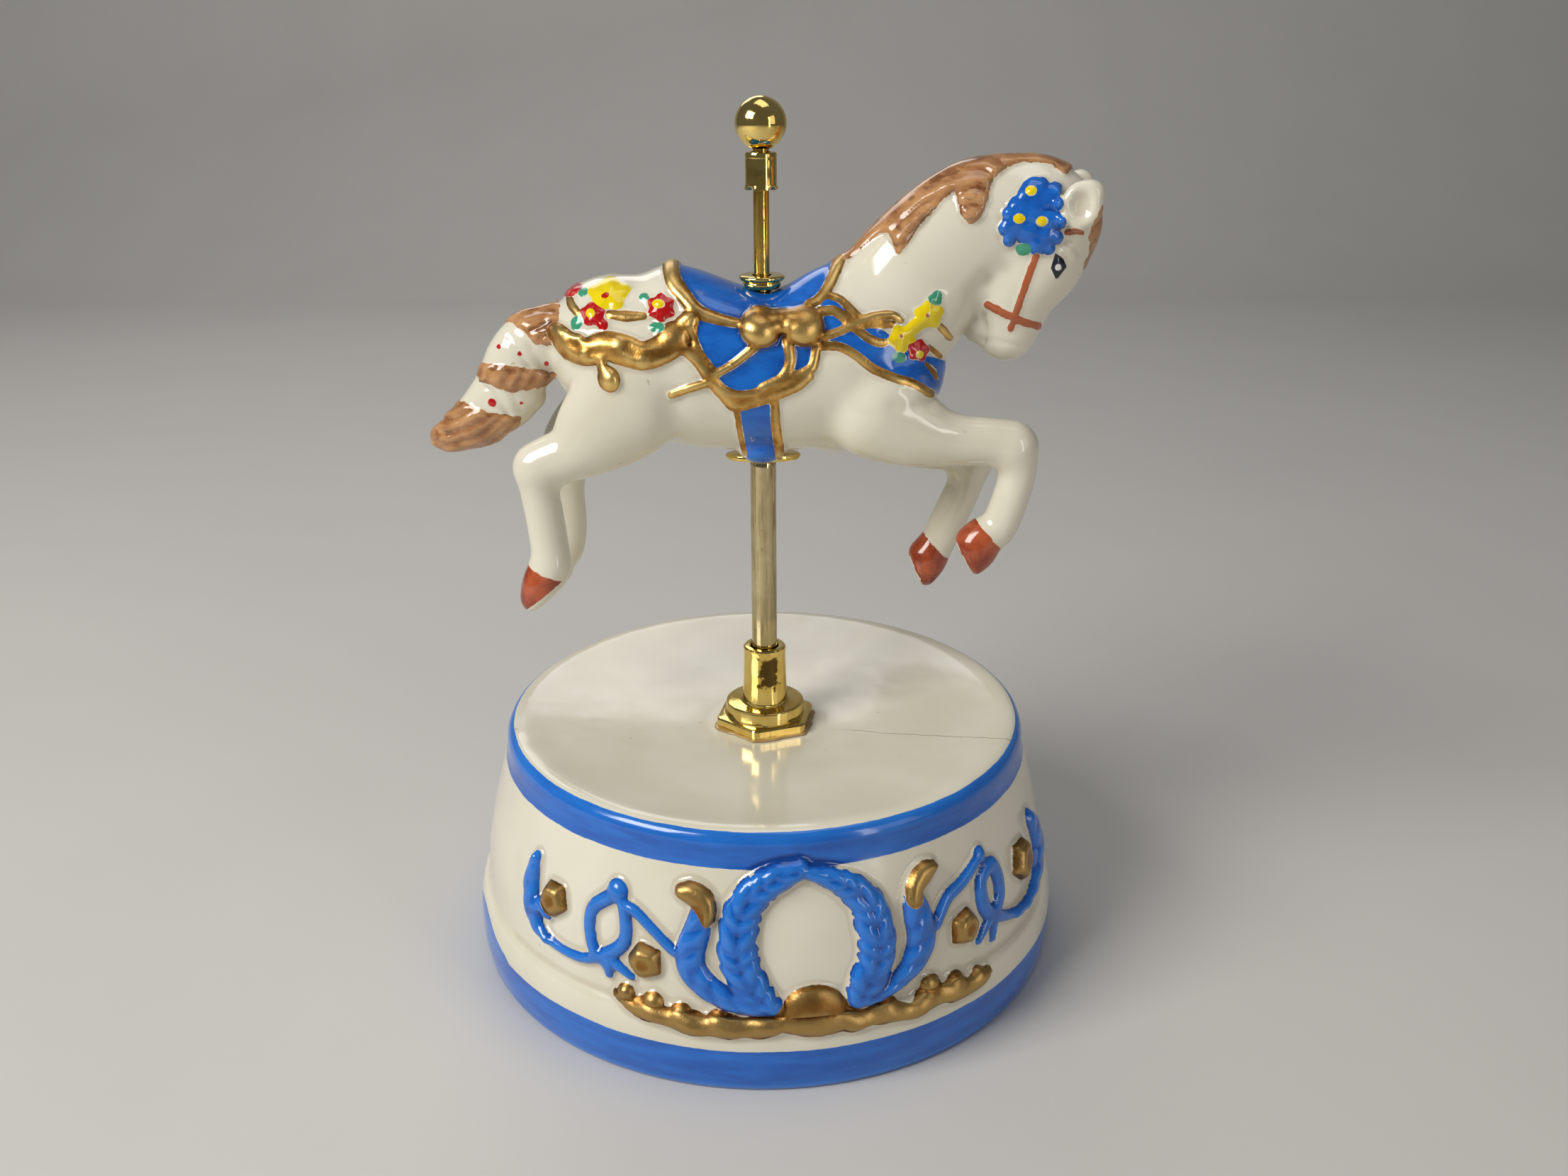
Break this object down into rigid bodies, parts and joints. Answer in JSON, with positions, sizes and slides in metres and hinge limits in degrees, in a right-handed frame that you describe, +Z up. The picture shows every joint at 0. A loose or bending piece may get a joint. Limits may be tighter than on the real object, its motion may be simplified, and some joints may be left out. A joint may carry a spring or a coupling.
{
  "type": "wind up music box",
  "caption": "Wind-up music box: a glazed porcelain carousel horse on a brass pole that turns over a flared round ceramic base holding the movement.",
  "frame": {"origin": "centre of the foot ring, on the surface the box stands on", "axes": "+Z up along the pole, +X towards the horse's head at rest, -Y the side with the moulded ornament"},
  "size_m": [0.1183, 0.1148, 0.1593],
  "materials": {
    "base_glaze": "cream glossy glaze with blue bands and blue and gold moulded relief",
    "horse_glaze": "cream glossy glaze with painted blue saddlery, gold trim, brown mane and red-brown hooves",
    "gold_plate": "bright gold plated fittings",
    "worn_tube": "satin worn plated tube with scratches",
    "rod_brass": "polished brass rod",
    "adhesive": "amber squeezed-out adhesive",
    "cover_plastic": "matt moulded base cover",
    "nylon": "natural nylon",
    "steel": "bright zinc plated steel",
    "spring_steel": "blued spring steel",
    "zinc": "die-cast zinc",
    "movement_brass": "machined brass"
  },
  "bodies": {
    "base": {"base_shell": "base_glaze", "pole_bushing": "nylon", "base_ferrule": "gold_plate", "ferrule_glue": "adhesive", "bottom_cover": "cover_plastic", "screw_plug_1": "nylon", "screw_plug_2": "nylon", "screw_plug_3": "nylon", "cover_screw_1": "steel", "cover_screw_2": "steel", "cover_screw_3": "steel", "movement_screw_1": "steel", "movement_screw_2": "steel", "movement_screw_3": "steel", "bedplate": "zinc", "spring_housing": "steel", "mainspring": "spring_steel", "tone_comb": "steel", "comb_screw_1": "steel", "comb_screw_2": "steel", "inner_bracket": "zinc", "outer_bracket": "zinc", "governor_frame": "zinc", "bracket_screw_1": "steel", "bracket_screw_2": "steel", "bracket_screw_3": "steel"},
    "carousel": {"horse": "horse_glaze", "pole_rod": "rod_brass", "pole_tube": "worn_tube", "belly_flange": "gold_plate", "saddle_ferrule": "gold_plate", "finial_collar": "gold_plate", "finial_ball": "gold_plate", "arbor_coupling": "steel", "winding_arbor": "steel", "winding_key": "movement_brass", "crown_wheel": "movement_brass", "click_washer": "spring_steel"},
    "cylinder": {"melody_cylinder": "movement_brass", "cylinder_spindle": "steel", "cylinder_pinion": "movement_brass", "cylinder_wheel": "movement_brass"},
    "governor": {"governor_wheel": "movement_brass", "governor_pinion": "movement_brass"},
    "fan": {"governor_worm": "steel", "governor_fan": "nylon"}
  },
  "joints": [
    {"name": "carousel_turn", "type": "hinge", "parent": "base", "child": "carousel", "pos_m": [0, 0, 0.0426], "axis": [0, 0, 1], "continuous": true},
    {"name": "cylinder_turn", "type": "hinge", "parent": "base", "child": "cylinder", "pos_m": [-0.0248, 0, 0.0316], "axis": [1, 0, 0], "continuous": true},
    {"name": "governor_turn", "type": "hinge", "parent": "base", "child": "governor", "pos_m": [-0.0375, -0.00693, 0.0276], "axis": [1, 0, 0], "continuous": true},
    {"name": "fan_turn", "type": "hinge", "parent": "base", "child": "fan", "pos_m": [-0.03755, -0.01183, 0.0276], "axis": [0, 0, 1], "continuous": true}
  ],
  "couplings": [
    {"joint": "cylinder_turn", "follows": "carousel_turn", "ratio": -4},
    {"joint": "governor_turn", "follows": "carousel_turn", "ratio": 16},
    {"joint": "fan_turn", "follows": "carousel_turn", "ratio": 320}
  ]
}
